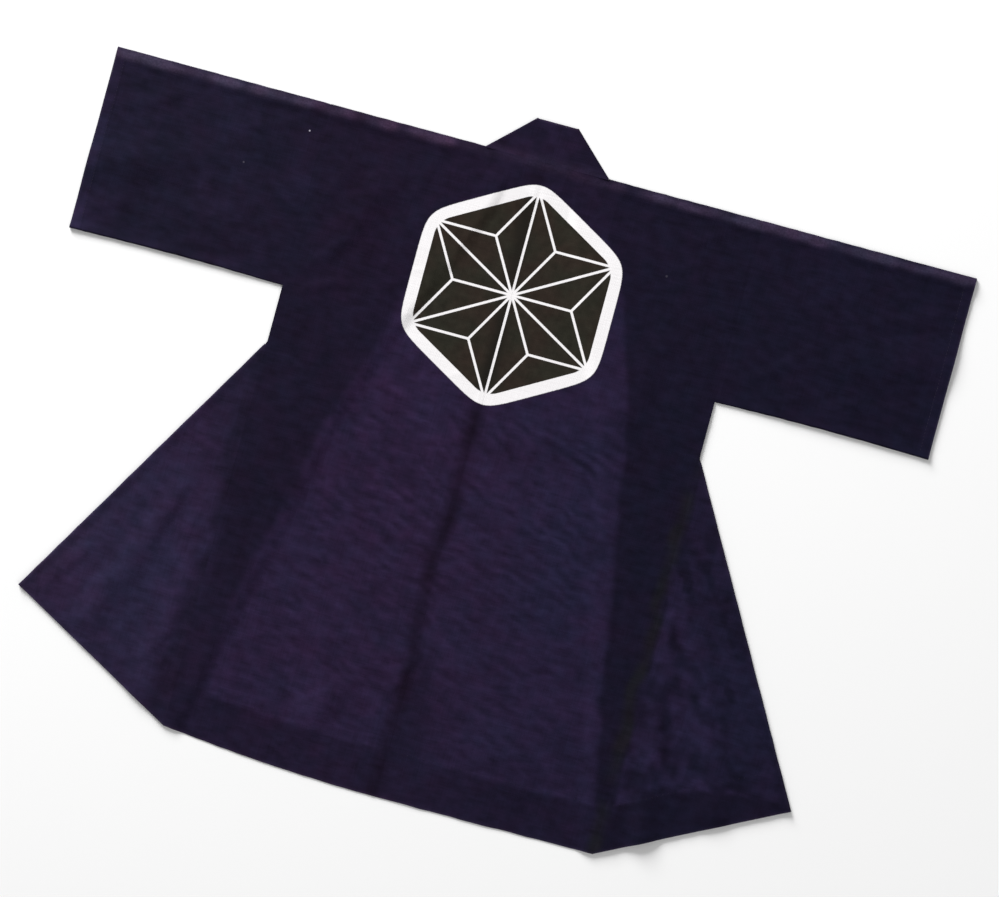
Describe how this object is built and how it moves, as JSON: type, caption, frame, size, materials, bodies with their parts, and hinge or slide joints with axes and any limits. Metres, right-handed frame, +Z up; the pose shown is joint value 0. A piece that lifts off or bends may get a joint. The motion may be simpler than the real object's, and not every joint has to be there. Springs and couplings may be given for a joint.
{
  "type": "happi coat",
  "caption": "Short open cotton coat with square sleeves, flared side gores and a band collar, laid flat with its back uppermost.",
  "frame": {"origin": "middle of the laid coat's outline, on the surface that it lies on", "axes": "+X from the left cuff to the right cuff as seen from above, +Y from the hem to the collar, +Z up out of the back"},
  "size_m": [1.2, 0.941, 0.0088],
  "materials": {
    "body_cotton": "matt plain-woven cotton, dark navy purple",
    "collar_cotton": "matt plain-woven cotton, folded double, dark navy purple"
  },
  "bodies": {
    "root": {"body_left": "body_cotton", "body_right": "body_cotton", "sleeve_left": "body_cotton", "sleeve_right": "body_cotton", "gore_left": "body_cotton", "gore_right": "body_cotton", "collar": "collar_cotton"}
  },
  "joints": []
}
